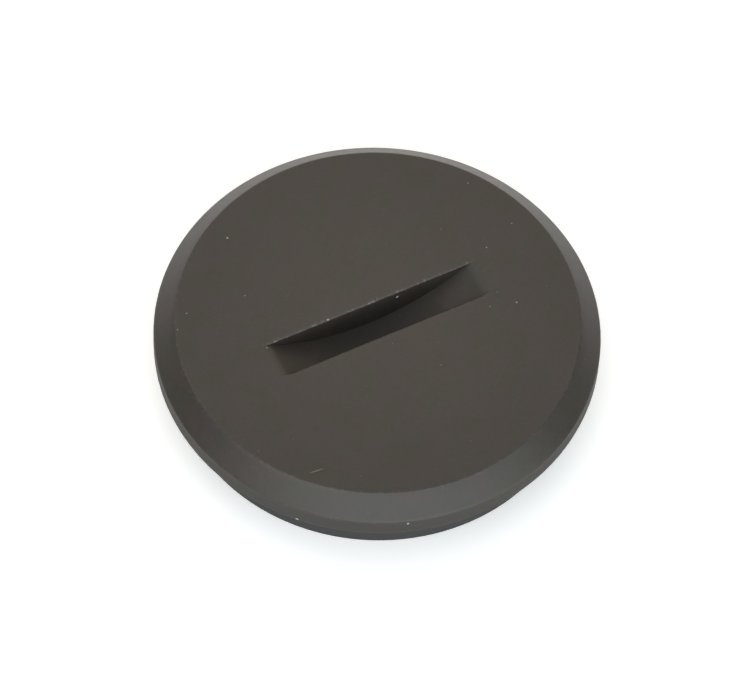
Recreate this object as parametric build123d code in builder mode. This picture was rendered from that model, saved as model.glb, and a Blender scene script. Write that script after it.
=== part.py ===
"""Screw-cap desk grommet for a 60 mm hole in a desktop.

A threaded sleeve drops into the hole and hangs on its thin flange, which sits on a foam ring. A rubber
grip ring in the sleeve's wall holds it to the side of the hole. The cap is a turned cover disc with a
milled coin slot, screwed from below to a moulded threaded insert. A flat gasket lies between the cap and
the sleeve. A coin in the slot unscrews the cap, which opens the sleeve's bore for cables.

All sizes are in millimetres. +Z is up, and the origin is the centre of the sleeve's lower end. The slot
runs along X.
"""

import os
from math import cos, radians, sin

from build123d import *

# Driving dimensions
desk_hole_diameter = 60.0
cover_diameter = 65.0
total_height = 13.0
cover_height = 6.05  # from the top face to the lower edge of the cover's rim

# Clearances
hole_clearance = 0.25  # sleeve wall to desk hole, on the radius
rim_clearance = 0.25  # cover's rim to the sleeve's flange, on the radius
thread_radial_clearance = 0.35
thread_flank_clearance = 0.25
boss_clearance = 0.15  # cover's boss to the insert's bore, on the radius

# Cover disc
cover_radius = cover_diameter / 2
rim_bottom = total_height - cover_height
bevel = 3.1  # the 45 degree bevel round the top face
bevel_lower_round = 0.45
bevel_upper_round = 0.2
rim_lower_round = 0.3
rim_wall = 0.95
plate_bottom = total_height - 3.4
hub_radius = 25.4
hub_bottom = 7.0
boss_radius = 15.5
boss_bottom = 5.6
boss_chamfer = 0.3

# Coin slot: the arc of a disc cutter, which runs out at both ends
slot_length = 32.8
slot_width = 5.7
slot_depth = 5.2
slot_cutter_radius = ((slot_length / 2) ** 2 + slot_depth**2) / (2 * slot_depth)

# Thread: one start, right-handed
pitch = 3.0
thread_core_radius = 25.6
thread_depth = 1.1
thread_root_width = 1.7
thread_crest_width = 1.0
thread_flank_slope = (thread_root_width - thread_crest_width) / thread_depth
thread_overlap = 0.3  # how far a swept thread runs past the wall that it joins or cuts

# Threaded insert
insert_bottom = 1.0
insert_top = hub_bottom
insert_crest_radius = thread_core_radius + thread_depth
insert_skirt_inner_radius = 22.6
insert_web_bottom = 4.4
insert_bore_radius = boss_radius + boss_clearance
insert_ridge_start = 1.9  # height of the ridge's centre at its lower end
insert_ridge_height = 4.2
insert_foot_chamfer = 0.4
insert_hole_radius = 1.7
rib_count = 8
rib_thickness = 1.2
rib_height = 1.4

# Screws that hold the insert to the cover: 3 mm self-tapping, pan head, cross recess
screw_count = 4
screw_circle_radius = 19.3
screw_radius = 1.45
screw_head_radius = 2.6
screw_head_height = 1.8
screw_head_round = 0.8
screw_end = 10.8
screw_tip_chamfer = 0.8
screw_recess_length = 2.8
screw_recess_width = 0.7
screw_recess_depth = 1.0
cover_hole_radius = 1.5
cover_hole_end = 11.2

# Sleeve
sleeve_radius = desk_hole_diameter / 2 - hole_clearance
sleeve_top = 8.7
sleeve_flange_radius = cover_radius - rim_wall - rim_clearance
sleeve_flange_bottom = sleeve_top - 1.2
sleeve_relief_radius = sleeve_radius - 0.4  # the wall's last stretch, under the flange
sleeve_bore_radius = thread_core_radius + thread_radial_clearance
sleeve_groove_radius = insert_crest_radius + thread_radial_clearance
sleeve_entry_chamfer = 0.4
sleeve_foot_chamfer = 0.4
sleeve_flange_chamfer = 0.25

# Grip ring: an O-ring in the sleeve's wall, squeezed to the size of the hole
grip_section_radius = 0.75
grip_height = 5.0
grip_radius = sleeve_radius + 0.2 - grip_section_radius
grip_seat_width = 1.7
grip_seat_radius = grip_radius - grip_section_radius - 0.05

# Foam seat under the sleeve's flange
seat_inner_radius = desk_hole_diameter / 2 + 0.1
seat_outer_radius = sleeve_flange_radius
seat_thickness = 0.8
seat_bottom = sleeve_flange_bottom - seat_thickness

# Gasket between the cover and the sleeve
gasket_inner_radius = hub_radius + 0.3
gasket_outer_radius = 30.6
gasket_thickness = plate_bottom - sleeve_top
gasket_edge_round = 0.2


def thread_section(path, inner_radius, outer_radius, inner_width, outer_width):
    """A trapezium across the start of a helix that starts over the X axis."""
    start = path @ 0
    inner = inner_radius - start.X
    outer = outer_radius - start.X
    with BuildSketch(Plane(origin=start, x_dir=(1, 0, 0), z_dir=path % 0)) as section:
        with BuildLine():
            Polyline(
                (inner, -inner_width / 2),
                (outer, -outer_width / 2),
                (outer, outer_width / 2),
                (inner, inner_width / 2),
                close=True,
            )
        make_face()
    return section.sketch


screw_angles = [45 + 360 / screw_count * number for number in range(screw_count)]
screw_places = [
    (screw_circle_radius * cos(radians(angle)), screw_circle_radius * sin(radians(angle)))
    for angle in screw_angles
]

# Cover disc: a turned profile, then the slot, then the blind holes for the screws
with BuildPart() as cover_disc:
    with BuildSketch(Plane.XZ) as cover_profile:
        with BuildLine():
            Polyline(
                (0, boss_bottom),
                (boss_radius, boss_bottom),
                (boss_radius, hub_bottom),
                (hub_radius, hub_bottom),
                (hub_radius, plate_bottom),
                (cover_radius - rim_wall, plate_bottom),
                (cover_radius - rim_wall, rim_bottom),
                (cover_radius, rim_bottom),
                (cover_radius, total_height - bevel),
                (cover_radius - bevel, total_height),
                (0, total_height),
                close=True,
            )
        make_face()
    revolve(axis=Axis.Z)

    side_face = cover_disc.faces().filter_by(GeomType.CYLINDER).sort_by(SortBy.AREA)[-1]
    lower_edge, upper_edge = side_face.edges().filter_by(GeomType.CIRCLE).sort_by(Axis.Z)
    fillet(upper_edge, bevel_lower_round)
    fillet(lower_edge, rim_lower_round)
    fillet(cover_disc.faces().sort_by(Axis.Z)[-1].edges(), bevel_upper_round)
    chamfer(cover_disc.faces().sort_by(Axis.Z)[0].edges(), boss_chamfer)

    with BuildSketch(Plane.XZ) as slot_profile:
        with Locations((0, total_height - slot_depth + slot_cutter_radius)):
            Circle(slot_cutter_radius)
    extrude(amount=slot_width / 2, both=True, mode=Mode.SUBTRACT)

    with BuildSketch(Plane.XY.offset(hub_bottom)) as cover_holes:
        with Locations(*screw_places):
            Circle(cover_hole_radius)
    extrude(amount=cover_hole_end - hub_bottom, mode=Mode.SUBTRACT)

# Threaded insert: a skirt with the outer thread, and a ribbed web that the screws pass through
with BuildPart() as threaded_insert:
    with BuildSketch(Plane.XZ) as insert_profile:
        with BuildLine():
            Polyline(
                (insert_bore_radius, insert_web_bottom),
                (insert_skirt_inner_radius, insert_web_bottom),
                (insert_skirt_inner_radius, insert_bottom),
                (thread_core_radius, insert_bottom),
                (thread_core_radius, insert_top),
                (insert_bore_radius, insert_top),
                close=True,
            )
        make_face()
    revolve(axis=Axis.Z)
    chamfer(threaded_insert.faces().sort_by(Axis.Z)[0].edges(), insert_foot_chamfer)

    with BuildLine() as ridge_path:
        Helix(pitch, insert_ridge_height, thread_core_radius, center=(0, 0, insert_ridge_start))
    ridge_section = thread_section(
        ridge_path.line,
        thread_core_radius - thread_overlap,
        insert_crest_radius,
        thread_root_width + thread_flank_slope * thread_overlap,
        thread_crest_width,
    )
    sweep(ridge_section, path=ridge_path.line, is_frenet=True)

    with BuildSketch(Plane.XY.offset(insert_web_bottom)) as rib_outline:
        with PolarLocations(0, rib_count, start_angle=180 / rib_count):
            Rectangle(
                insert_skirt_inner_radius + thread_overlap,
                rib_thickness,
                align=(Align.MIN, Align.CENTER),
            )
        Circle(insert_bore_radius, mode=Mode.SUBTRACT)
    extrude(amount=-rib_height)

    with BuildSketch(Plane.XY.offset(insert_web_bottom)) as insert_holes:
        with Locations(*screw_places):
            Circle(insert_hole_radius)
    extrude(amount=insert_top - insert_web_bottom, mode=Mode.SUBTRACT)

# Screws, head down
screws = []
for number, place in enumerate(screw_places, start=1):
    with BuildPart() as insert_screw:
        with BuildSketch(Plane.XY.offset(insert_web_bottom)) as head:
            with Locations(place):
                Circle(screw_head_radius)
        extrude(amount=-screw_head_height)
        fillet(insert_screw.edges().sort_by(Axis.Z)[0], screw_head_round)
        with BuildSketch(Plane.XY.offset(insert_web_bottom)) as shank:
            with Locations(place):
                Circle(screw_radius)
        extrude(amount=screw_end - insert_web_bottom)
        chamfer(insert_screw.edges().sort_by(Axis.Z)[-1], screw_tip_chamfer)
        with BuildSketch(Plane.XY.offset(insert_web_bottom - screw_head_height)) as recess:
            with Locations(place):
                Rectangle(screw_recess_length, screw_recess_width)
                Rectangle(screw_recess_width, screw_recess_length)
        extrude(amount=screw_recess_depth, mode=Mode.SUBTRACT)
    insert_screw.part.label = f"insert_screw_{number}"
    screws.append(insert_screw)

# Sleeve: a wall with the inner thread, the grip ring's seat and a thin flange
with BuildPart() as desk_sleeve:
    with BuildSketch(Plane.XZ) as sleeve_profile:
        with BuildLine():
            Polyline(
                (sleeve_bore_radius, 0),
                (sleeve_radius, 0),
                (sleeve_radius, seat_bottom),
                (sleeve_relief_radius, seat_bottom),
                (sleeve_relief_radius, sleeve_flange_bottom),
                (sleeve_flange_radius, sleeve_flange_bottom),
                (sleeve_flange_radius, sleeve_top),
                (sleeve_bore_radius, sleeve_top),
                close=True,
            )
        make_face()
        with Locations((sleeve_radius, grip_height)):
            Rectangle(2 * (sleeve_radius - grip_seat_radius), grip_seat_width, mode=Mode.SUBTRACT)
    revolve(axis=Axis.Z)

    bore_face = desk_sleeve.faces().filter_by(GeomType.CYLINDER).sort_by(SortBy.RADIUS)[0]
    chamfer(bore_face.edges().filter_by(GeomType.CIRCLE), sleeve_entry_chamfer)
    chamfer(desk_sleeve.faces().sort_by(Axis.Z)[0].outer_wire().edges(), sleeve_foot_chamfer)
    chamfer(desk_sleeve.faces().sort_by(Axis.Z)[-1].outer_wire().edges(), sleeve_flange_chamfer)

    groove_start = insert_ridge_start - pitch
    groove_height = sleeve_top + pitch / 2 - groove_start
    with BuildLine() as groove_path:
        Helix(pitch, groove_height, sleeve_bore_radius, center=(0, 0, groove_start))
    mouth_width = (
        thread_root_width - thread_flank_slope * thread_radial_clearance + 2 * thread_flank_clearance
    )
    groove_section = thread_section(
        groove_path.line,
        sleeve_bore_radius - thread_overlap,
        sleeve_groove_radius,
        mouth_width + thread_flank_slope * thread_overlap,
        thread_crest_width + 2 * thread_flank_clearance,
    )
    sweep(groove_section, path=groove_path.line, is_frenet=True, mode=Mode.SUBTRACT)

# Grip ring
with BuildPart() as grip_ring:
    with BuildSketch(Plane.XZ) as grip_section:
        with Locations((grip_radius, grip_height)):
            Circle(grip_section_radius)
    revolve(axis=Axis.Z)

# Foam seat: a flat ring
with BuildPart() as foam_seat:
    with BuildSketch(Plane.XY.offset(seat_bottom)) as seat_outline:
        Circle(seat_outer_radius)
        Circle(seat_inner_radius, mode=Mode.SUBTRACT)
    extrude(amount=seat_thickness)

# Gasket: a flat ring with rounded edges, loose round the cover's hub
with BuildPart() as cap_gasket:
    with BuildSketch(Plane.XZ) as gasket_section:
        with Locations(((gasket_inner_radius + gasket_outer_radius) / 2, sleeve_top)):
            RectangleRounded(
                gasket_outer_radius - gasket_inner_radius,
                gasket_thickness,
                gasket_edge_round,
                align=(Align.CENTER, Align.MIN),
            )
    revolve(axis=Axis.Z)

cover_disc.part.label = "cover_disc"
threaded_insert.part.label = "threaded_insert"
desk_sleeve.part.label = "desk_sleeve"
grip_ring.part.label = "grip_ring"
foam_seat.part.label = "foam_seat"
cap_gasket.part.label = "cap_gasket"

os.makedirs("parts", exist_ok=True)
for piece in [cover_disc, threaded_insert, *screws, desk_sleeve, grip_ring, foam_seat, cap_gasket]:
    export_step(piece.part, f"parts/{piece.part.label}.step")
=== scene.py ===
"""Looks for a screw-cap desk grommet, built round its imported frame.

The cover disc and the soft rings are made here as fine meshes, in millimetres, and scaled to metres. The
threaded insert, its screws and the sleeve keep their CAD meshes and get their finish here.
"""
import math

import bmesh
import bpy
from mathutils import Matrix, Vector, noise


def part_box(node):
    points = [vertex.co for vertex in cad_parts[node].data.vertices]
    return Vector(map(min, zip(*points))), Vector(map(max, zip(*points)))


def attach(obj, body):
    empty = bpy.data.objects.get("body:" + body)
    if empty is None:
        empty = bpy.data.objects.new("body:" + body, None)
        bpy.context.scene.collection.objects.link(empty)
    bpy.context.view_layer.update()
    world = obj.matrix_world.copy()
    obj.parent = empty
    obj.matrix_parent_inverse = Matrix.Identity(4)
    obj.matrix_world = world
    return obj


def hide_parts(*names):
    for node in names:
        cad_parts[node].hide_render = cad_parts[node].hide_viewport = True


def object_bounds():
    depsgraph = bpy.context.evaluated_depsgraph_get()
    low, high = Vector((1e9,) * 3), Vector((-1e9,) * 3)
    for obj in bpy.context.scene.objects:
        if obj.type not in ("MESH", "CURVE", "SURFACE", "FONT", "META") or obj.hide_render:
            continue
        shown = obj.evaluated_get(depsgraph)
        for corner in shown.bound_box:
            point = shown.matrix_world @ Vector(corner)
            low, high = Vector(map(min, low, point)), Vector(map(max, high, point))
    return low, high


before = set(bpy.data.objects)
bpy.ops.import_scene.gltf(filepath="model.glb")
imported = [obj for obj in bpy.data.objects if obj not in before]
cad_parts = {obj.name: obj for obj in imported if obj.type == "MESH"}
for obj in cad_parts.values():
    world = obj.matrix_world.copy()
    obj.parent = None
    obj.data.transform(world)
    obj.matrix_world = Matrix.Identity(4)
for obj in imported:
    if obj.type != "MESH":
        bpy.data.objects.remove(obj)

cad_low, cad_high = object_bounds()
MM = 0.001


def size_in_mm(node):
    """(outer radius, bottom, top) of a turned node, from its box."""
    low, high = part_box(node)
    return (high.x - low.x) / 2 / MM, low.z / MM, high.z / MM


# ---------------------------------------------------------------- sizes, in millimetres

# cover disc
COVER_RADIUS, COVER_BOTTOM, COVER_TOP = size_in_mm("cover_disc")
BEVEL = 3.1
BEVEL_UPPER_ROUND = 0.2
BEVEL_LOWER_ROUND = 0.45
RIM_LOWER_ROUND = 0.3
RIM_HEIGHT = 6.05
RIM_WALL = 0.95
PLATE_THICKNESS = 3.4
HUB_RADIUS = 25.4
HUB_BOTTOM = COVER_BOTTOM + 1.4
BOSS_RADIUS = 15.5
BOSS_CHAMFER = 0.3
SCREW_HOLE_RADIUS = 1.5
SCREW_HOLE_DEPTH = 4.2

# coin slot, along X, cut by a round cutter
SLOT_LENGTH = 32.8
SLOT_WIDTH = 5.7
SLOT_DEPTH = 5.2
SLOT_CUTTER_RADIUS = ((SLOT_LENGTH / 2) ** 2 + SLOT_DEPTH**2) / (2 * SLOT_DEPTH)
CUTTER_HEIGHT = SLOT_CUTTER_RADIUS - SLOT_DEPTH  # the cutter's centre over the top face
# the floor runs out into the top face over a soft round at each end
RUN_OUT = 3.0
RUN_OUT_END = math.sqrt((SLOT_CUTTER_RADIUS + RUN_OUT) ** 2 - (CUTTER_HEIGHT + RUN_OUT) ** 2)
RUN_OUT_START = RUN_OUT_END * SLOT_CUTTER_RADIUS / (SLOT_CUTTER_RADIUS + RUN_OUT)
# middle width of the slot's broken edges: one is left sharp with a burr, the other is chamfered
FAR_EDGE_BREAK = 0.075
NEAR_EDGE_BREAK = 0.32
# both widths vary in long waves and short nicks
WAVE_DEPTH, WAVES_PER_MM = 0.06, 1.7
NICK_DEPTH, NICKS_PER_MM = 0.05, 6
# 0 to 1 of worn colour on the two edges; on the far edge this pale line is partly a painted highlight
FAR_EDGE_WEAR_AND_HIGHLIGHT = 1.0
NEAR_EDGE_WEAR = 0.12

# where the cover's rings of points lie between its corners
COLLAR_SPREADS = (0.5, 1.0)  # outwards from the slot's outline
ROUND_TOP_RADIUS = RUN_OUT_END + 3.5  # the first full circle, round the slot
ROUND_TOP_SHARES = (0.2, 0.45, 0.7, 1.0)  # of the way from the last collar to that circle
FLAT_RADII = (23.0, 26.0, 28.0, 29.0)
BEVEL_DEPTHS = (0.5, 1.1, 1.7, 2.3, 2.75)  # down from the top face
SIDE_HEIGHTS = (9.2, 8.6, 8.0, 7.5)

# soft rings
GASKET_PLAY = 0.3  # between the gasket and the cover's hub
FOAM_WIDTH = 1.2
GRIP_FLAT = 0.04  # how much the hole flattens the grip ring
GRIP_SEAM = 0.035
GRIP_HEIGHT_SHARE = 0.985  # of the CAD ring's height

# ---------------------------------------------------------------- camera

CAMERA_AZIMUTH = math.radians(-28.8)
CAMERA_ELEVATION = math.radians(57.16)
CAMERA_ROLL = math.radians(-2.61)
CAMERA_DISTANCE = 20 * COVER_RADIUS * MM
CAMERA_LENS = 220.2
# how far the middle of the bevel's lower edge stands right of and above the picture's middle
AIM_RIGHT = 1.645 * MM
AIM_UP = 1.85 * MM

CAMERA_SIDEWAYS = Vector((math.cos(CAMERA_AZIMUTH), math.sin(CAMERA_AZIMUTH), 0))
CAMERA_FORWARD = Vector((-math.sin(CAMERA_AZIMUTH), math.cos(CAMERA_AZIMUTH), 0))


def make_camera():
    """A long lens, aimed a little off the axis at the height of the bevel's lower edge."""
    back = math.sin(CAMERA_ELEVATION) * Vector((0, 0, 1)) - math.cos(CAMERA_ELEVATION) * CAMERA_FORWARD
    level_up = back.cross(CAMERA_SIDEWAYS)
    right = math.cos(CAMERA_ROLL) * CAMERA_SIDEWAYS - math.sin(CAMERA_ROLL) * level_up
    up = math.sin(CAMERA_ROLL) * CAMERA_SIDEWAYS + math.cos(CAMERA_ROLL) * level_up
    target = Vector((0, 0, (COVER_TOP - BEVEL) * MM)) - AIM_RIGHT * right - AIM_UP * up
    camera = bpy.data.objects.new("camera", bpy.data.cameras.new("camera"))
    camera.data.lens = CAMERA_LENS
    camera.data.clip_start = 0.01
    camera.data.clip_end = 10
    axes = Matrix((right, up, back)).transposed()
    camera.matrix_world = Matrix.Translation(target + CAMERA_DISTANCE * back) @ axes.to_4x4()
    bpy.context.scene.collection.objects.link(camera)
    bpy.context.scene.camera = camera


# ---------------------------------------------------------------- meshes

SEGMENTS = 360
MERGE_DISTANCE = 1e-4 * MM
SHARP_ANGLE = math.radians(28)

# the slot's outline has as many points as a full circle, so that the top face joins the two
END_STEPS = 30
SIDE_STEPS = (SEGMENTS - 2 * END_STEPS) // 2
WALL_STEPS = 10
SLOT_RING_START = -END_STEPS / 2 * 360 / SEGMENTS


class Shell:
    """The points and faces of one piece, in millimetres, with a 0 to 1 value of wear and painted highlight
    at each point.
    """

    def __init__(self):
        self.points = []
        self.faces = []
        self.wear_and_highlight = []

    def loop(self, points, wear_and_highlight=0.0):
        """Adds a row of points and returns their numbers."""
        first = len(self.points)
        self.points.extend(points)
        self.wear_and_highlight.extend([wear_and_highlight] * len(points) if isinstance(wear_and_highlight, (int, float)) else wear_and_highlight)
        return list(range(first, len(self.points)))

    def join(self, one, other, closed=True):
        """Quads between two rows of equal length."""
        count = len(one)
        for i in range(count if closed else count - 1):
            j = (i + 1) % count
            self.faces.append((one[i], one[j], other[j], other[i]))

    def widen(self, ring, points, wear_and_highlight=0.0):
        """Goes on from a ring to a next one, and returns that one."""
        wider = self.loop(points, wear_and_highlight)
        self.join(ring, wider)
        return wider

    def close(self, loop, centre):
        """A fan of triangles from a closed row to one point."""
        tip = self.loop([centre])[0]
        for i, number in enumerate(loop):
            self.faces.append((number, loop[(i + 1) % len(loop)], tip))

    def make(self, name):
        """The piece as a Blender object in metres, with its faces turned outwards."""
        mesh = bpy.data.meshes.new(name)
        mesh.from_pydata([Vector(p) * MM for p in self.points], [], self.faces)
        mesh.attributes.new("wear_and_highlight", "FLOAT", "POINT").data.foreach_set("value", self.wear_and_highlight)
        work = bmesh.new()
        work.from_mesh(mesh)
        bmesh.ops.remove_doubles(work, verts=work.verts, dist=MERGE_DISTANCE)
        bmesh.ops.dissolve_degenerate(work, edges=work.edges, dist=MERGE_DISTANCE)
        bmesh.ops.recalc_face_normals(work, faces=work.faces)
        work.to_mesh(mesh)
        work.free()
        mesh.shade_smooth()
        mesh.set_sharp_from_angle(angle=SHARP_ANGLE)
        piece = bpy.data.objects.new(name, mesh)
        bpy.context.scene.collection.objects.link(piece)
        return piece


def arc(centre, radius, start, end, steps):
    """Points of a profile's rounded corner, from one angle in degrees to another."""
    angles = [math.radians(start + (end - start) * i / steps) for i in range(steps + 1)]
    return [(centre[0] + radius * math.cos(a), centre[1] + radius * math.sin(a)) for a in angles]


def circle(radius, z, start=0.0, segments=SEGMENTS, wobble=None):
    """A ring of points; wobble(angle) is added to the radius."""
    points = []
    for i in range(segments):
        angle = math.radians(start) + math.tau * i / segments
        r = radius + (wobble(angle) if wobble else 0)
        points.append((r * math.cos(angle), r * math.sin(angle), z))
    return points


def knocks(radius, depth, length=0.9):
    """Smooth small dents round a ring, for circle's wobble: about length apart, 0 to 2 depths deep."""
    def wobble(angle):
        spot = Vector((math.cos(angle), math.sin(angle), 0)) * (radius / length)
        return depth * noise.noise(spot) - depth
    return wobble


def slot_floor_depth(x):
    """How far the slot's floor is under the top face: the cutter's arc, then the round at its end."""
    if abs(x) < RUN_OUT_START:
        return math.sqrt(SLOT_CUTTER_RADIUS**2 - x * x) - CUTTER_HEIGHT
    return RUN_OUT - math.sqrt(RUN_OUT**2 - max(RUN_OUT_END - abs(x), 0) ** 2)


def slot_outline(spread):
    """(x, y) round the slot from its corner at +X, -Y, spread outwards by spread(x, y)."""
    half_length, half_width = RUN_OUT_END, SLOT_WIDTH / 2
    corners = [
        (half_length, -half_width, 0, 1, END_STEPS),
        (half_length, half_width, -1, 0, SIDE_STEPS),
        (-half_length, half_width, 0, -1, END_STEPS),
        (-half_length, -half_width, 1, 0, SIDE_STEPS),
    ]
    points = []
    for x, y, along_x, along_y, steps in corners:
        for i in range(steps):
            px = x + along_x * 2 * half_length * i / steps
            py = y + along_y * SLOT_WIDTH * i / steps
            out = spread(px, py)
            points.append((px * (1 + out / half_length), py * (1 + out / half_width)))
    return points


def slot_edge_break(x, y):
    """Width of the broken edge along the slot: uneven, and none where the floor runs out."""
    waves = WAVE_DEPTH * noise.noise(Vector((x * WAVES_PER_MM, y, 3.1)))
    nicks = NICK_DEPTH * noise.noise(Vector((x * NICKS_PER_MM, y, 8.2)))
    middle = FAR_EDGE_BREAK if y > 0 else NEAR_EDGE_BREAK
    return max(0.0, min(middle + waves + nicks, 0.4 * slot_floor_depth(x)))


def slot_edge_wear_and_highlight(x, y):
    """The cutter left its burr on the far side, whose pale line is partly a painted highlight; the near side
    is nearly clean, and the ends are.
    """
    at_an_end = abs(x) > RUN_OUT_END - 0.01
    if at_an_end:
        return 0.0
    return FAR_EDGE_WEAR_AND_HIGHLIGHT if y > 0 else NEAR_EDGE_WEAR


def add_top_face(shell):
    """The slot's broken edge and the flat round it; returns the first full circle of the top face."""
    edge = slot_outline(lambda x, y: 0.0)
    wear_and_highlight = [slot_edge_wear_and_highlight(x, y) for x, y in edge]
    lip = shell.loop([(x, y, COVER_TOP - slot_edge_break(x, y)) for x, y in edge], wear_and_highlight)
    ring = shell.widen(lip, [(x, y, COVER_TOP) for x, y in slot_outline(slot_edge_break)], wear_and_highlight)
    for spread in COLLAR_SPREADS:
        collar = [(x, y, COVER_TOP) for x, y in slot_outline(lambda x, y: spread)]
        ring = shell.widen(ring, collar)
    round_top = circle(ROUND_TOP_RADIUS, COVER_TOP, SLOT_RING_START)
    for share in ROUND_TOP_SHARES:
        ring = shell.widen(ring, [Vector(a).lerp(b, share) for a, b in zip(collar, round_top)])
    return ring


def add_slot(shell):
    """The slot's floor and its two walls."""
    half_width = SLOT_WIDTH / 2
    columns = [RUN_OUT_END * (1 - 2 * i / SIDE_STEPS) for i in range(SIDE_STEPS + 1)]
    rows = [-half_width + SLOT_WIDTH * j / END_STEPS for j in range(END_STEPS + 1)]
    floor = [shell.loop([(x, y, COVER_TOP - slot_floor_depth(x)) for y in rows]) for x in columns]
    for one, other in zip(floor, floor[1:]):
        shell.join(one, other, closed=False)
    for y in (-half_width, half_width):
        wall = []
        for x in columns:
            top = slot_edge_break(x, y)
            bottom = slot_floor_depth(x)
            heights = [COVER_TOP - top - (bottom - top) * j / WALL_STEPS for j in range(WALL_STEPS + 1)]
            wear_and_highlight = [slot_edge_wear_and_highlight(x, y)] + [0.0] * WALL_STEPS
            wall.append(shell.loop([(x, y, z) for z in heights], wear_and_highlight))
        for one, other in zip(wall, wall[1:]):
            shell.join(one, other, closed=False)


def add_turned_outside(shell, ring):
    """From the top face over the bevel and down the rim; the round edges are knocked a little."""
    inset = math.tan(math.radians(22.5))
    upper_centre = (COVER_RADIUS - BEVEL - BEVEL_UPPER_ROUND * inset, COVER_TOP - BEVEL_UPPER_ROUND)
    lower_centre = (COVER_RADIUS - BEVEL_LOWER_ROUND, COVER_TOP - BEVEL - BEVEL_LOWER_ROUND * inset)
    foot_centre = (COVER_RADIUS - RIM_LOWER_ROUND, COVER_TOP - RIM_HEIGHT + RIM_LOWER_ROUND)
    bevel = [(COVER_RADIUS - BEVEL + depth, COVER_TOP - depth) for depth in BEVEL_DEPTHS]
    stretches = [
        # (radius, z) of the rings, wear, depth of the knocks
        ([(r, COVER_TOP) for r in FLAT_RADII], 0.0, 0.0),
        (arc(upper_centre, BEVEL_UPPER_ROUND, 90, 45, 4), 0.2, 0.03),
        (bevel, 0.0, 0.012),
        (arc(lower_centre, BEVEL_LOWER_ROUND, 45, 0, 5), 0.12, 0.012),
        ([(COVER_RADIUS, z) for z in SIDE_HEIGHTS], 0.0, 0.0),
        (arc(foot_centre, RIM_LOWER_ROUND, 0, -90, 5), 0.2, 0.012),
    ]
    for rings, wear_and_highlight, knock_depth in stretches:
        for r, z in rings:
            wobble = knocks(r, knock_depth) if knock_depth else None
            ring = shell.widen(ring, circle(r, z, SLOT_RING_START, wobble=wobble), wear_and_highlight)
    return ring


def add_turned_underside(shell, ring):
    """The inside of the rim, the plate, the hub and the boss."""
    rim_bottom = COVER_TOP - RIM_HEIGHT
    plate_bottom = COVER_TOP - PLATE_THICKNESS
    inner_rim = COVER_RADIUS - RIM_WALL
    underside = [
        (inner_rim + 0.1, rim_bottom), (inner_rim, rim_bottom + 0.1), (inner_rim, plate_bottom),
        (HUB_RADIUS, plate_bottom), (HUB_RADIUS, HUB_BOTTOM),
        (BOSS_RADIUS, HUB_BOTTOM), (BOSS_RADIUS, COVER_BOTTOM + BOSS_CHAMFER),
        (BOSS_RADIUS - BOSS_CHAMFER, COVER_BOTTOM), (BOSS_RADIUS * 0.5, COVER_BOTTOM),
    ]
    for r, z in underside:
        ring = shell.widen(ring, circle(r, z, SLOT_RING_START))
    shell.close(ring, (0, 0, COVER_BOTTOM))


def make_cover():
    """The cap's disc as one closed shell, still without its screw holes."""
    shell = Shell()
    ring = add_top_face(shell)
    add_slot(shell)
    ring = add_turned_outside(shell, ring)
    add_turned_underside(shell, ring)
    return shell.make("cover")


def drill_screw_holes(cover):
    """Blind holes from below, one over each screw."""
    drills = bmesh.new()
    for number in range(1, 5):
        low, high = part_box(f"insert_screw_{number}")
        place = Vector(((low.x + high.x) / 2, (low.y + high.y) / 2, HUB_BOTTOM * MM))
        bmesh.ops.create_cone(
            drills, cap_ends=True, segments=48,
            radius1=SCREW_HOLE_RADIUS * MM, radius2=SCREW_HOLE_RADIUS * MM,
            depth=2 * SCREW_HOLE_DEPTH * MM, matrix=Matrix.Translation(place),
        )
    mesh = bpy.data.meshes.new("drills")
    drills.to_mesh(mesh)
    drills.free()
    tool = bpy.data.objects.new("drills", mesh)
    bpy.context.scene.collection.objects.link(tool)
    cut = cover.modifiers.new("holes", "BOOLEAN")
    cut.operation = "DIFFERENCE"
    cut.solver = "EXACT"
    cut.object = tool
    graph = bpy.context.evaluated_depsgraph_get()
    drilled = bpy.data.meshes.new_from_object(cover.evaluated_get(graph))
    cover.modifiers.clear()
    cover.data = drilled
    drilled.set_sharp_from_angle(angle=SHARP_ANGLE)
    bpy.data.objects.remove(tool)


def make_ring(name, profile, unevenness, lump_size):
    """A turned ring from a closed profile of (radius, z); its surface is pushed inwards unevenly."""
    shell = Shell()
    middle = (sum(r for r, z in profile) / len(profile), sum(z for r, z in profile) / len(profile))
    rows = []
    for r, z in profile:
        points = []
        for i in range(SEGMENTS):
            angle = math.tau * i / SEGMENTS
            spot = Vector((r * math.cos(angle), r * math.sin(angle), z)) / lump_size
            pull = unevenness * (0.5 + 0.5 * noise.noise(spot))
            span = math.hypot(r - middle[0], z - middle[1])
            share = 1 - pull / span
            ring_r = middle[0] + (r - middle[0]) * share
            ring_z = middle[1] + (z - middle[1]) * share
            points.append((ring_r * math.cos(angle), ring_r * math.sin(angle), ring_z))
        rows.append(shell.loop(points))
    for i, row in enumerate(rows):
        shell.join(row, rows[(i + 1) % len(rows)])
    return shell.make(name)


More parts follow.
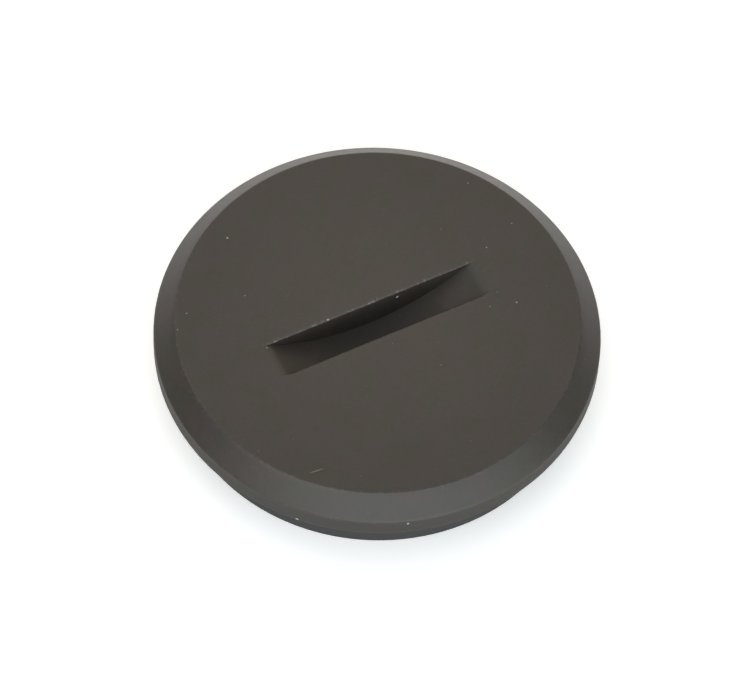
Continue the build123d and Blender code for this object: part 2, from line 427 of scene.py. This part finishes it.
def soft_box(inner, outer, bottom, top, corner, bulge, steps=5):
    """A closed profile with round corners, whose two short sides bulge between them."""
    half = (top - bottom) / 2
    middle_z = (top + bottom) / 2
    outline = []
    outline += arc((outer - bulge - corner, bottom + corner), corner, -90, 0, 3)
    for i in range(1, steps):
        t = -1 + 2 * i / steps
        outline.append((outer - bulge * t * t, middle_z + t * (half - corner)))
    outline += arc((outer - bulge - corner, top - corner), corner, 0, 90, 3)
    outline += [(inner + (outer - inner) * s, top) for s in (0.75, 0.5, 0.25)]
    outline += arc((inner + bulge + corner, top - corner), corner, 90, 180, 3)
    for i in range(1, steps):
        t = 1 - 2 * i / steps
        outline.append((inner + bulge * t * t, middle_z + t * (half - corner)))
    outline += arc((inner + bulge + corner, bottom + corner), corner, 180, 270, 3)
    outline += [(inner + (outer - inner) * s, bottom) for s in (0.25, 0.5, 0.75)]
    return outline


def make_gasket():
    """A flat rubber ring, almost even."""
    outer, bottom, top = size_in_mm("cap_gasket")
    profile = soft_box(HUB_RADIUS + GASKET_PLAY, outer, bottom, top, corner=0.12, bulge=0.12)
    return make_ring("gasket_ring", profile, unevenness=0.02, lump_size=1.5)


def make_foam():
    """A flat foam ring with the small pits of cut foam."""
    outer, bottom, top = size_in_mm("foam_seat")
    profile = soft_box(outer - FOAM_WIDTH, outer, bottom, top, corner=0.06, bulge=0.05)
    return make_ring("foam_ring", profile, unevenness=0.05, lump_size=0.35)


def make_grip():
    """An O-ring: round, a little flat where the hole squeezes it, with a thin moulding seam."""
    outer, bottom, top = size_in_mm("grip_ring")
    radius = (top - bottom) / 2
    facets = 32
    profile = []
    for i in range(facets):
        angle = math.tau * i / facets
        r = min(outer - radius + radius * math.cos(angle), outer - GRIP_FLAT)
        z = (top + bottom) / 2 + radius * GRIP_HEIGHT_SHARE * math.sin(angle)
        seam = GRIP_SEAM if i % (facets // 2) == 0 else 0.0
        profile.append((r + math.copysign(seam, math.cos(angle)), z))
    return make_ring("grip_cord", profile, unevenness=0.01, lump_size=1.2)


# ---------------------------------------------------------------- node helpers

def add(tree, kind, inputs=None, **settings):
    """A node with its settings and inputs; an input is a value or another node's output."""
    node = tree.nodes.new(kind)
    for name, value in settings.items():
        setattr(node, name, value)
    for socket, value in (inputs or {}).items():
        if isinstance(value, bpy.types.NodeSocket):
            tree.links.new(value, node.inputs[socket])
        else:
            node.inputs[socket].default_value = value
    return node


def maths(tree, operation, *values):
    return add(tree, "ShaderNodeMath", dict(enumerate(values)), operation=operation).outputs[0]


def remap(tree, value, low, high, to_low=0.0, to_high=1.0):
    """A smooth step from to_low at low to to_high at high."""
    inputs = {"Value": value, "From Min": low, "From Max": high, "To Min": to_low, "To Max": to_high}
    return add(tree, "ShaderNodeMapRange", inputs, interpolation_type="SMOOTHSTEP").outputs["Result"]


def mixed(tree, factor, one, other):
    """A colour between two others."""
    node = add(tree, "ShaderNodeMix", data_type="RGBA")
    for index, value in ((0, factor), (6, one), (7, other)):
        if isinstance(value, bpy.types.NodeSocket):
            tree.links.new(value, node.inputs[index])
        else:
            node.inputs[index].default_value = value if index == 0 else (*value, 1)
    return node.outputs[2]


def tinted(tree, colour, factor):
    """A colour times a number."""
    node = add(tree, "ShaderNodeVectorMath", {0: colour, "Scale": factor}, operation="SCALE")
    return node.outputs[0]


def grain(tree, place, per_mm, detail=2.0, rough=0.5):
    inputs = {"Vector": place, "Scale": per_mm, "Detail": detail, "Roughness": rough}
    return add(tree, "ShaderNodeTexNoise", inputs).outputs["Fac"]


def specks(tree, place, per_mm, share, radius, softness=0.4):
    """Small dots scattered at random: 1 in a dot, 0 between."""
    cells = add(tree, "ShaderNodeTexVoronoi", {"Vector": place, "Scale": per_mm})
    parts = add(tree, "ShaderNodeSeparateColor", {0: cells.outputs["Color"]})
    chosen = maths(tree, "LESS_THAN", parts.outputs[0], share)
    size = maths(tree, "MULTIPLY_ADD", parts.outputs[1], radius * per_mm, 0.4 * radius * per_mm)
    edge = maths(tree, "DIVIDE", cells.outputs["Distance"], size)
    dot = remap(tree, edge, 1 - softness, 1.0, 1.0, 0.0)
    return maths(tree, "MULTIPLY", dot, chosen)


def new_material(name):
    """(material, tree, shader, place in millimetres) of an empty principled material."""
    material = bpy.data.materials.new(name)
    material.use_nodes = True
    tree = material.node_tree
    shader = tree.nodes["Principled BSDF"]
    coordinates = add(tree, "ShaderNodeTexCoord")
    place = add(tree, "ShaderNodeVectorMath", {0: coordinates.outputs["Object"], "Scale": 1 / MM},
                operation="SCALE").outputs[0]
    return material, tree, shader, place


def set_bump(tree, shader, height, depth_mm):
    bump = add(tree, "ShaderNodeBump", {"Height": height, "Distance": depth_mm * MM, "Strength": 1.0})
    tree.links.new(bump.outputs["Normal"], shader.inputs["Normal"])


# ---------------------------------------------------------------- materials

# pairs that patches blend between
COVER_COLOURS = (0.0425, 0.0340, 0.0300), (0.0380, 0.0350, 0.0280)
ZINC_COLOURS = (0.40, 0.40, 0.41), (0.60, 0.59, 0.56)

PIT_COLOUR = (0.015, 0.013, 0.011)
BLOOM_COLOUR = (0.11, 0.108, 0.1)
# pale wear, which on the slot's far edge is partly a painted highlight
WORN_AND_HIGHLIGHT_COLOUR = (0.21, 0.205, 0.19)
DUST_COLOUR = (0.30, 0.285, 0.26)
# pale of crumbs of swarf and dust, and of painted glints
CRUMB_AND_GLINT_COLOUR = (0.5, 0.49, 0.46)
LINT_COLOUR = (0.17, 0.15, 0.10)

# crumbs of swarf and dust that show on the cover, some of them painted glints: x, y, z, radius and paleness
CRUMBS_AND_GLINTS = [
    (4.6, 2.85, 11.8, 0.26, 1.0), (-6.6, 2.95, 13.0, 0.17, 0.7), (13.8, 2.4, 12.8, 0.14, 0.8),
    (15.0, 2.8, 13.0, 0.12, 1.0), (16.2, 2.7, 13.0, 0.2, 0.35), (-16.6, 2.5, 13.0, 0.2, 0.35),
    (-15.2, 2.8, 13.0, 0.15, 0.3), (-23.8, -22.1, 7.2, 0.32, 1.0), (-10.6, -30.75, 9.4, 0.2, 0.8),
    (8.8, -30.9, 10.5, 0.12, 0.4), (-31.9, -4.8, 10.4, 0.16, 0.5), (15.6, -5.2, 13.0, 0.12, 0.35),
    (4.6, -11.1, 13.0, 0.12, 0.3), (19.4, -6.2, 13.0, 0.15, 0.5), (19.9, 4.2, 13.0, 0.13, 0.45),
    (25.2, 6.4, 13.0, 0.11, 0.35), (22.7, 15.6, 13.0, 0.12, 0.4), (-13.5, 22.1, 13.0, 0.18, 0.7),
    (-24.5, 12.8, 13.0, 0.12, 0.35), (-26.9, 10.8, 13.0, 0.14, 0.3), (-15.6, 11.9, 13.0, 0.15, 0.25),
]
# a fibre of lint: its middle, its half sizes and its turn about Z
LINT = ((-19.4, -19.2, 13.0), (1.3, 0.075, 1.0), math.radians(-5))
# painted shade in the coin slot: how much darker its walls and its deep floor are painted
SLOT_PAINTED_SHADE = 0.27


def slot_painted_shade(tree, place, radius, height):
    """Painted shade: 1 outside the coin slot; in it, darker on the walls and towards the bottom."""
    inside = maths(tree, "GREATER_THAN", height, COVER_TOP - SLOT_DEPTH - 0.1)
    inside = maths(tree, "MULTIPLY", inside, maths(tree, "LESS_THAN", radius, RUN_OUT_END + 1))
    inside = maths(tree, "MULTIPLY", inside, remap(tree, height, COVER_TOP - 0.3, COVER_TOP - 0.1, 1.0, 0.0))
    across = maths(tree, "ABSOLUTE", add(tree, "ShaderNodeSeparateXYZ", {0: place}).outputs[1])
    walls = maths(tree, "GREATER_THAN", across, SLOT_WIDTH / 2 - 0.02)
    deep = remap(tree, height, COVER_TOP - SLOT_DEPTH, COVER_TOP - 2, 1.0, 0.0)
    dark = maths(tree, "MULTIPLY", inside, maths(tree, "MAXIMUM", walls, deep))
    return maths(tree, "MULTIPLY_ADD", dark, -SLOT_PAINTED_SHADE, 1.0)


def lint(tree, place):
    """1 on the fibre of lint, 0 beside it."""
    centre, half_sizes, turn = LINT
    inputs = {"Vector": place, "Location": centre, "Rotation": (0, 0, turn), "Scale": half_sizes}
    fibre = add(tree, "ShaderNodeMapping", inputs, vector_type="TEXTURE").outputs[0]
    fibre = add(tree, "ShaderNodeVectorMath", {0: fibre}, operation="LENGTH").outputs["Value"]
    return remap(tree, fibre, 0.5, 1.0, 1.0, 0.0)


def crumbs_and_glints(tree, place):
    """How pale each place is with the listed crumbs and painted glints, whose outlines are made ragged."""
    ragged = maths(tree, "MULTIPLY_ADD", grain(tree, place, 6.0), 0.3, -0.15)
    paleness = 0.0
    for x, y, z, size, palest in CRUMBS_AND_GLINTS:
        away = add(tree, "ShaderNodeVectorMath", {0: place, 1: (x, y, z)}, operation="DISTANCE")
        away = maths(tree, "ADD", away.outputs["Value"], ragged)
        paleness = maths(tree, "MAXIMUM", paleness, remap(tree, away, 0.4 * size, size, palest, 0.0))
    return paleness


def cover_plastic():
    """Turned dark plastic: fine grain, uneven tone, a pale burr on the slot that is partly a painted
    highlight, a little dust with some painted glints, and painted light and shade: the middle of the top
    face and the bevel lighter, the coin slot darker.
    """
    material, tree, shader, place = new_material("cover_plastic")
    patches = grain(tree, place, 0.09, 3, 0.55)
    mottle = grain(tree, place, 0.9, 3, 0.6)
    fine = grain(tree, place, 5.5, 2, 0.6)
    across = add(tree, "ShaderNodeVectorMath", {0: place, 1: (1, 1, 0)}, operation="MULTIPLY").outputs[0]
    radius = add(tree, "ShaderNodeVectorMath", {0: across}, operation="LENGTH").outputs["Value"]
    height = add(tree, "ShaderNodeSeparateXYZ", {0: place}).outputs[2]
    above_side = remap(tree, height, COVER_TOP - BEVEL - 0.3, COVER_TOP - BEVEL)
    bevel = remap(tree, radius, COVER_RADIUS - BEVEL - 0.15, COVER_RADIUS - BEVEL + 0.1)
    bevel = maths(tree, "MULTIPLY", bevel, above_side)

    # the plastic itself, with light and shade painted into its tone
    # painted light and shade: lighter in the middle of the top face, darker out towards its rim
    tone = remap(tree, radius, 5, 29, 1.03, 0.82)
    # painted light: the bevel lighter than the top face and the side
    tone = maths(tree, "MULTIPLY_ADD", bevel, 0.13, tone)
    tone = maths(tree, "MULTIPLY", tone, maths(tree, "MULTIPLY_ADD", patches, 0.2, 0.9))
    tone = maths(tree, "MULTIPLY", tone, maths(tree, "MULTIPLY_ADD", mottle, 0.24, 0.88))
    tone = maths(tree, "MULTIPLY", tone, maths(tree, "MULTIPLY_ADD", fine, 0.5, 0.75))
    # painted shade in the coin slot
    tone = maths(tree, "MULTIPLY", tone, slot_painted_shade(tree, place, radius, height))
    hue = remap(tree, grain(tree, place, 0.22, 3, 0.55), 0.38, 0.62)
    base = tinted(tree, mixed(tree, hue, *COVER_COLOURS), tone)

    # what lies on it
    pits = specks(tree, place, 0.8, 0.10, 0.11)
    base = mixed(tree, maths(tree, "MULTIPLY", pits, 0.6), base, PIT_COLOUR)
    dust = maths(tree, "MAXIMUM", specks(tree, place, 0.4, 0.10, 0.09), specks(tree, place, 1.5, 0.05, 0.06))
    base = mixed(tree, maths(tree, "MULTIPLY", dust, 0.45), base, DUST_COLOUR)
    # pale wear on the edges; on the slot's far edge it is partly a painted highlight
    wear_and_highlight = add(tree, "ShaderNodeAttribute", attribute_name="wear_and_highlight").outputs["Fac"]
    broken = remap(tree, grain(tree, place, 1.6, 3, 0.7), 0.5, 0.68)
    wear_and_highlight = maths(tree, "MULTIPLY", wear_and_highlight, maths(tree, "MULTIPLY_ADD", broken, 0.48, 0.05))
    base = mixed(tree, wear_and_highlight, base, WORN_AND_HIGHLIGHT_COLOUR)
    base = mixed(tree, lint(tree, place), base, LINT_COLOUR)
    # pale crumbs of swarf and dust, some of them painted glints
    swarf_and_glints = crumbs_and_glints(tree, place)
    base = mixed(tree, swarf_and_glints, base, CRUMB_AND_GLINT_COLOUR)
    tree.links.new(base, shader.inputs["Base Color"])

    roughness = maths(tree, "MULTIPLY_ADD", mottle, 0.16, 0.52)
    roughness = maths(tree, "MULTIPLY_ADD", above_side, -0.16, roughness)
    roughness = maths(tree, "MULTIPLY_ADD", bevel, -0.11, roughness)
    tree.links.new(roughness, shader.inputs["Roughness"])
    shader.inputs["Specular IOR Level"].default_value = 0.425
    relief = maths(tree, "ADD", maths(tree, "MULTIPLY", fine, 0.6), maths(tree, "MULTIPLY", mottle, 0.8))
    relief = maths(tree, "ADD", relief, maths(tree, "MAXIMUM", dust, swarf_and_glints))
    set_bump(tree, shader, relief, 0.02)
    return material


def moulded_plastic(name, colour, roughness, texture_per_mm, depth_mm):
    """Moulded plastic with an even spark-eroded texture and slight flow tones."""
    material, tree, shader, place = new_material(name)
    texture = grain(tree, place, texture_per_mm, 3, 0.6)
    flow = grain(tree, place, 0.12, 3, 0.6)
    tone = maths(tree, "MULTIPLY_ADD", flow, 0.4, 0.8)
    tone = maths(tree, "MULTIPLY", tone, maths(tree, "MULTIPLY_ADD", texture, 0.4, 0.8))
    base = tinted(tree, colour, tone)
    dust = specks(tree, place, 0.7, 0.12, 0.08)
    base = mixed(tree, maths(tree, "MULTIPLY", dust, 0.4), base, DUST_COLOUR)
    tree.links.new(base, shader.inputs["Base Color"])
    rough = maths(tree, "MULTIPLY_ADD", flow, 0.14, roughness - 0.07)
    tree.links.new(rough, shader.inputs["Roughness"])
    shader.inputs["Specular IOR Level"].default_value = 0.38
    set_bump(tree, shader, texture, depth_mm)
    return material


def rubber(name, colour, lump_per_mm, depth_mm, bloom):
    """Matte rubber or foam: soft lumps and a pale bloom on them."""
    material, tree, shader, place = new_material(name)
    lumps = grain(tree, place, lump_per_mm, 3, 0.65)
    clouds = grain(tree, place, 0.2, 4, 0.6)
    base = tinted(tree, colour, maths(tree, "MULTIPLY_ADD", lumps, 0.8, 0.6))
    pale = remap(tree, clouds, 0.45, 0.75, 0.0, bloom)
    base = mixed(tree, pale, base, BLOOM_COLOUR)
    tree.links.new(base, shader.inputs["Base Color"])
    tree.links.new(maths(tree, "MULTIPLY_ADD", clouds, 0.2, 0.62), shader.inputs["Roughness"])
    shader.inputs["Specular IOR Level"].default_value = 0.35
    set_bump(tree, shader, lumps, depth_mm)
    return material


def zinc_steel():
    """Zinc-plated steel: a fine grain and dull patches."""
    material, tree, shader, place = new_material("zinc_steel")
    shader.inputs["Metallic"].default_value = 1.0
    patches = grain(tree, place, 0.8, 4, 0.6)
    fine = grain(tree, place, 9, 2, 0.6)
    base = mixed(tree, patches, *ZINC_COLOURS)
    tree.links.new(base, shader.inputs["Base Color"])
    tree.links.new(maths(tree, "MULTIPLY_ADD", patches, 0.25, 0.25), shader.inputs["Roughness"])
    set_bump(tree, shader, maths(tree, "ADD", fine, patches), 0.01)
    return material


# ---------------------------------------------------------------- stage and light

FLOOR_GAP = 0.02  # keeps the floor clear of the sleeve's lower face
FLOOR_GLOW = 0.26
FLOOR_HALF_SIZE = 3  # metres

# light by bearing, from the near side round to the right in steps of 45 degrees
PANEL_STRENGTH = 5.0
DIM = (0.12, 0.12, 0.12)
LOW_PANELS = [
    (3.0, 3.45, 3.5), (2.8, 3.15, 3.2), DIM, DIM,
    (2.0, 1.6, 1.2), DIM, DIM, (0.3, 0.35, 0.6),
]
MIDDLE_PANELS = [
    (2.05, 2.15, 2.2), (1.6, 1.67, 1.7), DIM, (0.4, 0.35, 0.3),
    (1.9, 1.6, 1.3), (1.8, 1.6, 1.4), DIM, (2.3, 2.25, 2.1),
]
OVERHEAD_PANEL = (0.86, 0.9, 0.91)


def floor_material():
    """Matt white; round the object, not under it, a little brighter to the camera than to the object."""
    material, tree, shader, place = new_material("floor")
    from_axis = add(tree, "ShaderNodeVectorMath", {0: place}, operation="LENGTH").outputs["Value"]
    hole_radius, _, _ = size_in_mm("grip_ring")
    glow = remap(tree, from_axis, hole_radius - 3, hole_radius - 0.5, 0.0, FLOOR_GLOW)
    seen = add(tree, "ShaderNodeLightPath").outputs["Is Camera Ray"]
    tree.links.new(maths(tree, "MULTIPLY", seen, glow), shader.inputs["Emission Strength"])
    shader.inputs["Emission Color"].default_value = (1, 1, 1, 1)
    shader.inputs["Base Color"].default_value = (0.98, 0.98, 0.98, 1)
    shader.inputs["Roughness"].default_value = 0.9
    shader.inputs["Specular IOR Level"].default_value = 0.0
    return material


def make_floor():
    work = bmesh.new()
    bmesh.ops.create_grid(work, x_segments=1, y_segments=1, size=FLOOR_HALF_SIZE)
    mesh = bpy.data.meshes.new("floor")
    work.to_mesh(mesh)
    work.free()
    floor = bpy.data.objects.new("floor", mesh)
    floor.location.z = cad_low.z - FLOOR_GAP * MM
    bpy.context.scene.collection.objects.link(floor)
    mesh.materials.append(floor_material())


def ring_of_panels(tree, bearing, colours):
    """Light by bearing: equal panels from the near side round to the right, blending into each other."""
    ramp = add(tree, "ShaderNodeValToRGB", {0: bearing})
    stops = ramp.color_ramp.elements
    stops[1].position = 1.0
    for i in range(1, len(colours)):
        stops.new(i / len(colours))
    for i, stop in enumerate(stops):
        stop.color = [value / PANEL_STRENGTH for value in colours[i % len(colours)]] + [1]
    return ramp.outputs[0]


def make_studio():
    """A pale room round the object: a low and a middle ring of panels and an overhead one."""
    world = bpy.data.worlds.new("studio")
    bpy.context.scene.world = world
    world.use_nodes = True
    tree = world.node_tree
    background = tree.nodes["Background"]
    background.inputs["Strength"].default_value = PANEL_STRENGTH
    direction = add(tree, "ShaderNodeTexCoord").outputs["Generated"]
    right = add(tree, "ShaderNodeVectorMath", {0: direction, 1: CAMERA_SIDEWAYS}, operation="DOT_PRODUCT")
    near = add(tree, "ShaderNodeVectorMath", {0: direction, 1: -CAMERA_FORWARD}, operation="DOT_PRODUCT")
    height = add(tree, "ShaderNodeSeparateXYZ", {0: direction}).outputs[2]
    turn = maths(tree, "ARCTAN2", right.outputs["Value"], near.outputs["Value"])
    turn = maths(tree, "DIVIDE", turn, math.tau)
    bearing = maths(tree, "FRACT", maths(tree, "ADD", turn, 1.0))
    rise = maths(tree, "ARCSINE", height)
    low = ring_of_panels(tree, bearing, LOW_PANELS)
    middle = ring_of_panels(tree, bearing, MIDDLE_PANELS)
    light = mixed(tree, remap(tree, rise, math.radians(10), math.radians(35)), low, middle)
    top = [value / PANEL_STRENGTH for value in OVERHEAD_PANEL]
    light = mixed(tree, remap(tree, rise, math.radians(35), math.radians(70)), light, top)
    seen = add(tree, "ShaderNodeLightPath").outputs["Is Camera Ray"]
    tree.links.new(mixed(tree, seen, light, [1 / PANEL_STRENGTH] * 3), background.inputs["Color"])


# ---------------------------------------------------------------- assembly

make_camera()
make_floor()
make_studio()
bpy.context.scene.view_settings.view_transform = "Standard"

cover = make_cover()
drill_screw_holes(cover)
gasket, foam, grip = make_gasket(), make_foam(), make_grip()

gasket_rubber = rubber("gasket_rubber", (0.03, 0.03, 0.03), 3.0, 0.02, 0.35)
seat_foam = rubber("seat_foam", (0.035, 0.035, 0.036), 4.5, 0.08, 0.15)
grip_rubber = rubber("grip_rubber", (0.02, 0.02, 0.02), 2.0, 0.01, 0.2)
for piece, node, body, slot, material in (
    (cover, "cover_disc", "cap", "cover_plastic", cover_plastic()),
    (gasket, "cap_gasket", "gasket", "gasket_rubber", gasket_rubber),
    (foam, "foam_seat", "sleeve", "seat_foam", seat_foam),
    (grip, "grip_ring", "sleeve", "grip_rubber", grip_rubber),
):
    piece.data.materials.clear()
    piece.data.materials.append(material)
    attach(piece, body)
    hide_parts(node)

insert_plastic = moulded_plastic("insert_plastic", (0.028, 0.028, 0.029), 0.5, 4.0, 0.02)
sleeve_plastic = moulded_plastic("sleeve_plastic", (0.0315, 0.0298, 0.0300), 0.48, 3.5, 0.012)
screw_steel = zinc_steel()
kept = {"threaded_insert": insert_plastic, "desk_sleeve": sleeve_plastic}
kept.update({f"insert_screw_{number}": screw_steel for number in range(1, 5)})
for node, material in kept.items():
    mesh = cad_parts[node].data
    mesh.materials.clear()
    mesh.materials.append(material)
